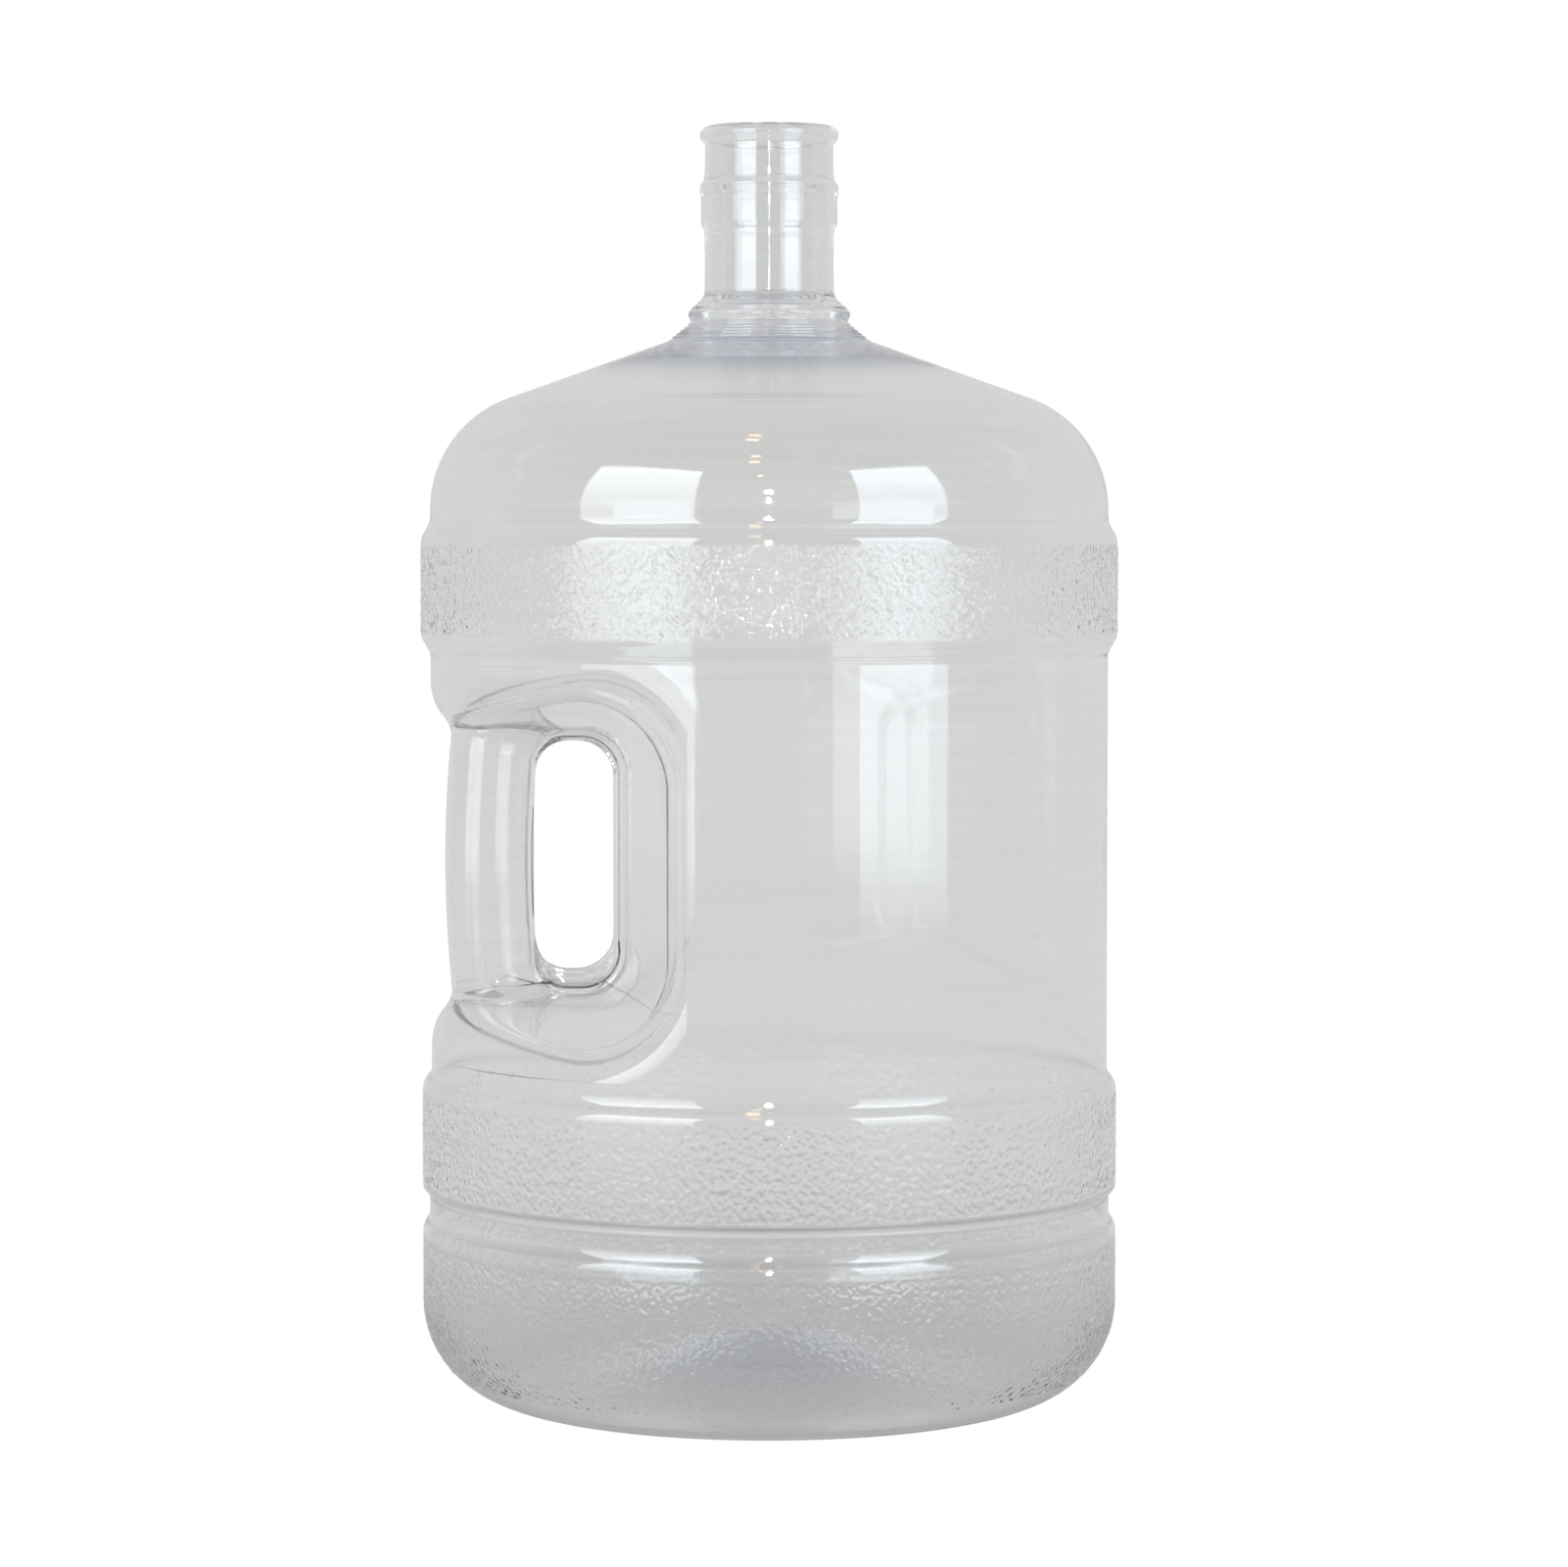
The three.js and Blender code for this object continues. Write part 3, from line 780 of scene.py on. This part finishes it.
def wall_heights(tree, place, flat, across, pebbled):
    """Height in millimetres of the wall's slight waves, handling scratches and pebbles' grain."""
    wave_height, scratch_depth, grain_height, scratched_from = 0.05, 0.006, 0.12, 60 * MM
    waves = tree.add("ShaderNodeTexNoise", {"Vector": place, "Scale": 26.0, "Detail": 1.5})
    height = tree.math("MULTIPLY", waves.outputs["Fac"], wave_height)

    scratch = tree.math("SUBTRACT", streaks(tree, flat, (18.0, 900.0, 1.0)), 0.7)
    on_body = tree.math("GREATER_THAN", across, scratched_from)
    scratch = tree.math("MULTIPLY", tree.math("MAXIMUM", scratch, 0.0), on_body)
    height = tree.math("MULTIPLY_ADD", scratch, scratch_depth, height)

    if pebbled:
        grain = tree.add("ShaderNodeTexNoise", {"Vector": place, "Scale": 700.0, "Detail": 0.0})
        where = tree.add("ShaderNodeAttribute", attribute_name="pebbled").outputs["Fac"]
        rise = tree.math("MULTIPLY", where, grain_height)
        height = tree.math("MULTIPLY_ADD", grain.outputs["Fac"], rise, height)
    return height


def wall_tint(tree, flat, height, base_tint, collar_tint):
    """The tint, bluer where the base and the collar are thicker, with faint streaks."""
    stops = (                 # height and tint
        (8.0, CLEAR), (18.0, base_tint), (30.0, base_tint), (45.0, CLEAR), (402.0, CLEAR),
        (405.5, collar_tint), (414.0, collar_tint), (GROOVE_Z, NECK),
    )
    share = tree.math("DIVIDE", height, MOUTH_Z * MM)
    ramp = tree.add("ShaderNodeValToRGB", {"Fac": share})
    elements = ramp.color_ramp.elements
    for _ in stops[2:]:
        elements.new(0.5)
    for element, (rise, colour) in zip(elements, stops):
        element.position = rise / MOUTH_Z
        element.color = (*colour, 1.0)
    haze = tree.math("MULTIPLY_ADD", streaks(tree, flat, (7.0, 260.0, 1.0)), 0.07, 0.965)
    hazy = tree.add("ShaderNodeVectorMath", {0: ramp.outputs[0], 1: haze}, operation="MULTIPLY")
    return hazy.outputs[0]


def plastic(name, base_tint, collar_tint, roughness, pebbled=False):
    """Clear plastic: light bends through it, and each surface takes a little of its tint."""
    material, tree = new_material(name)
    place = tree.add("ShaderNodeTexCoord").outputs["Object"]
    flat, across, height = unrolled(tree, place)
    heights = wall_heights(tree, place, flat, across, pebbled)
    bump = tree.add("ShaderNodeBump", {"Height": heights, "Distance": MM, "Strength": 1.0})
    shader = tree.add("ShaderNodeBsdfPrincipled", {
        "Base Color": wall_tint(tree, flat, height, base_tint, collar_tint),
        "Roughness": roughness,
        "IOR": 1.57,
        "Transmission Weight": 1.0,
        "Normal": bump.outputs["Normal"],
    })
    tree.add("ShaderNodeOutputMaterial", {"Surface": shader.outputs[0]})
    return material


def interface():
    """Where two zones meet inside the wall: nothing there is seen or bends light."""
    material, tree = new_material("inside_the_wall")
    shader = tree.add("ShaderNodeBsdfPrincipled", {"Alpha": 0.0})
    tree.add("ShaderNodeOutputMaterial", {"Surface": shader.outputs[0]})
    return material


# what the plastic leaves of red, green and blue light
CLEAR, NECK, SLIGHTLY_BLUE = (0.965, 0.967, 0.961), (0.943, 0.947, 0.952), (0.945, 0.95, 0.965)
BLUE, DEEP_BLUE = (0.8, 0.82, 0.91), (0.66, 0.69, 0.765)
MATERIALS = {
    "clear_plastic": plastic("clear_plastic", CLEAR, DEEP_BLUE, 0.035),
    "pebbled_plastic": plastic("pebbled_plastic", SLIGHTLY_BLUE, CLEAR, 0.04, pebbled=True),
    "thick_plastic": plastic("thick_plastic", BLUE, DEEP_BLUE, 0.04),
    "interface": interface(),
}


# ---- studio ------------------------------------------------------------------------------

def add_floor():
    """A pale floor, seen as plain white, that lights the jug less the nearer it is to it."""
    half = 12.0
    corners = [(-half, -half, 0), (half, -half, 0), (half, half, 0), (-half, half, 0)]
    mesh = bpy.data.meshes.new("floor")
    mesh.from_pydata(corners, [], [(0, 1, 2, 3)])
    floor = bpy.data.objects.new("floor", mesh)
    floor.location.z = -0.0005
    bpy.context.scene.collection.objects.link(floor)
    material, tree = new_material("floor_paper")
    place = tree.add("ShaderNodeTexCoord").outputs["Object"]
    away = tree.add("ShaderNodeVectorMath", {0: place}, operation="LENGTH").outputs["Value"]
    shade = tree.add(
        "ShaderNodeMapRange",
        {"Value": away, "From Min": 0.1, "From Max": 0.7, "To Min": 0.42, "To Max": 0.69},
    ).outputs["Result"]
    seen = tree.add("ShaderNodeLightPath").outputs["Is Camera Ray"]
    strength = tree.math("MAXIMUM", shade, seen)
    glow = tree.add("ShaderNodeEmission", {"Strength": strength})
    tree.add("ShaderNodeOutputMaterial", {"Surface": glow.outputs[0]})
    mesh.materials.append(material)


def add_world():
    """A white backdrop, grey where the jug sees it and darker on the camera's side."""
    world = bpy.data.worlds.new("studio")
    bpy.context.scene.world = world
    world.use_nodes = True
    world.node_tree.nodes.clear()
    tree = Tree(world.node_tree)
    direction = tree.add("ShaderNodeTexCoord").outputs["Generated"]
    forward = tree.add("ShaderNodeSeparateXYZ", {"Vector": direction}).outputs["Y"]
    grey = tree.add(
        "ShaderNodeMapRange",
        {"Value": forward, "From Min": -0.5, "From Max": 0.3, "To Min": 0.48, "To Max": 0.69},
    ).outputs["Result"]
    seen = tree.add("ShaderNodeLightPath").outputs["Is Camera Ray"]
    strength = tree.math("MAXIMUM", grey, seen)
    sky = tree.add("ShaderNodeBackground", {"Color": (1, 1, 1, 1), "Strength": strength})
    tree.add("ShaderNodeOutputWorld", {"Surface": sky.outputs[0]})


def aimed(obj, place, target):
    obj.location = place
    obj.rotation_euler = (Vector(target) - Vector(place)).to_track_quat("-Z", "Y").to_euler()
    bpy.context.scene.collection.objects.link(obj)


def fade_down(light):
    """Makes a panel light dimmer towards its lower edge, and dark at the edge itself."""
    light.use_nodes = True
    light.node_tree.nodes.clear()
    tree = Tree(light.node_tree)
    place = tree.add("ShaderNodeNewGeometry").outputs["Parametric"]
    up = tree.add("ShaderNodeSeparateXYZ", {"Vector": place}).outputs["Y"]
    ramp = tree.add("ShaderNodeValToRGB", {"Fac": up})
    ramp.color_ramp.elements.new(0.04)
    for element, (share, glow) in zip(ramp.color_ramp.elements, ((0, 0), (0.04, 0.33), (1, 1))):
        element.position = share
        element.color = (glow, glow, glow, 1)
    glow = tree.add("ShaderNodeEmission", {"Strength": ramp.outputs[0]})
    tree.add("ShaderNodeOutputLight", {"Surface": glow.outputs[0]})


def add_panel(name, place, target, size, brightness, colour):
    """A flat light of that width and height, as bright in a mirror as its brightness says."""
    light = bpy.data.lights.new(name, "AREA")
    light.shape = "RECTANGLE"
    light.size, light.size_y = size
    light.energy = brightness * math.pi * size[0] * size[1]
    light.color = colour
    aimed(bpy.data.objects.new(name, light), place, target)
    return light


def add_softbox(name, azimuths, heights, brightness, colour, distance=1.5):
    """An upright softbox between two angles from the camera's side, counted to the right."""
    middle = math.radians(sum(azimuths) / 2)
    width = 2 * distance * math.tan(math.radians(azimuths[1] - azimuths[0]) / 2)
    height = sum(heights) / 2
    place = (distance * math.sin(middle), -distance * math.cos(middle), height)
    size = (width, heights[1] - heights[0])
    fade_down(add_panel(name, place, (0, 0, height), size, brightness, colour))


def add_lamp(name, azimuth, elevation, size, brightness, colour, distance=1.8):
    """A small lamp at an azimuth to the right of the camera's side and an elevation."""
    middle = (0, 0, 0.3)
    turn, rise = math.radians(azimuth), math.radians(elevation)
    place = (
        distance * math.sin(turn) * math.cos(rise),
        -distance * math.cos(turn) * math.cos(rise),
        middle[2] + distance * math.sin(rise),
    )
    add_panel(name, place, middle, size, brightness, colour)


def add_lights():
    """Two softboxes like windows, and small lamps in a row that make the spots and sparkles."""
    pale, cool, warm = (0.9, 0.96, 1.0), (0.77, 0.89, 1.0), (1.0, 0.62, 0.28)
    add_softbox("softbox_left", (-63, -23.5), (0.07, 1.38), 4.6, pale)
    add_softbox("softbox_right", (29, 59.5), (0.07, 1.38), 4.8, cool)
    for i, (azimuth, elevation, length) in enumerate(((-9.5, 68, 0.1), (-5.5, 46.5, 0.085))):
        for tube in (-2.6, 2.6):
            name = f"ceiling_lamp_{i}_{'upper' if tube > 0 else 'lower'}"
            add_lamp(name, azimuth, elevation + tube, (length, 0.045), 11, warm)
    add_lamp("far_lamp", -3, 31, (0.045, 0.045), 12, warm)
    add_lamp("high_lamp", 0, 17, (0.075, 0.07), 450, pale)
    add_lamp("strip_lamp", 0, 9, (0.035, 0.12), 150, pale)
    add_lamp("low_lamp", 0, 1.6, (0.05, 0.05), 200, pale)


def add_camera():
    """A camera in front of the jug, at the height of its shoulder and looking slightly down."""
    look_down = 3.03
    camera = bpy.data.cameras.new("camera")
    camera.lens = 115.56
    camera.sensor_width = 36
    seen = bpy.data.objects.new("camera", camera)
    seen.location = (0.00576, -1.972, 0.346)
    seen.rotation_euler = (math.radians(90 - look_down), 0, 0)
    bpy.context.scene.collection.objects.link(seen)
    bpy.context.scene.camera = seen


def set_light_paths():
    """Enough bounces for light to cross every wall of the jug."""
    bounces = 64
    cycles = bpy.context.scene.cycles
    cycles.max_bounces = bounces
    cycles.transmission_bounces = bounces
    cycles.glossy_bounces = bounces
    cycles.transparent_max_bounces = bounces
    bpy.context.scene.view_settings.view_transform = "Standard"


# ---- the jug in its studio ---------------------------------------------------------------

bay_rows = add_turned_zones()
add_body_wall(*bay_rows)
add_handle_bay()
add_floor()
add_world()
add_lights()
add_camera()
set_light_paths()
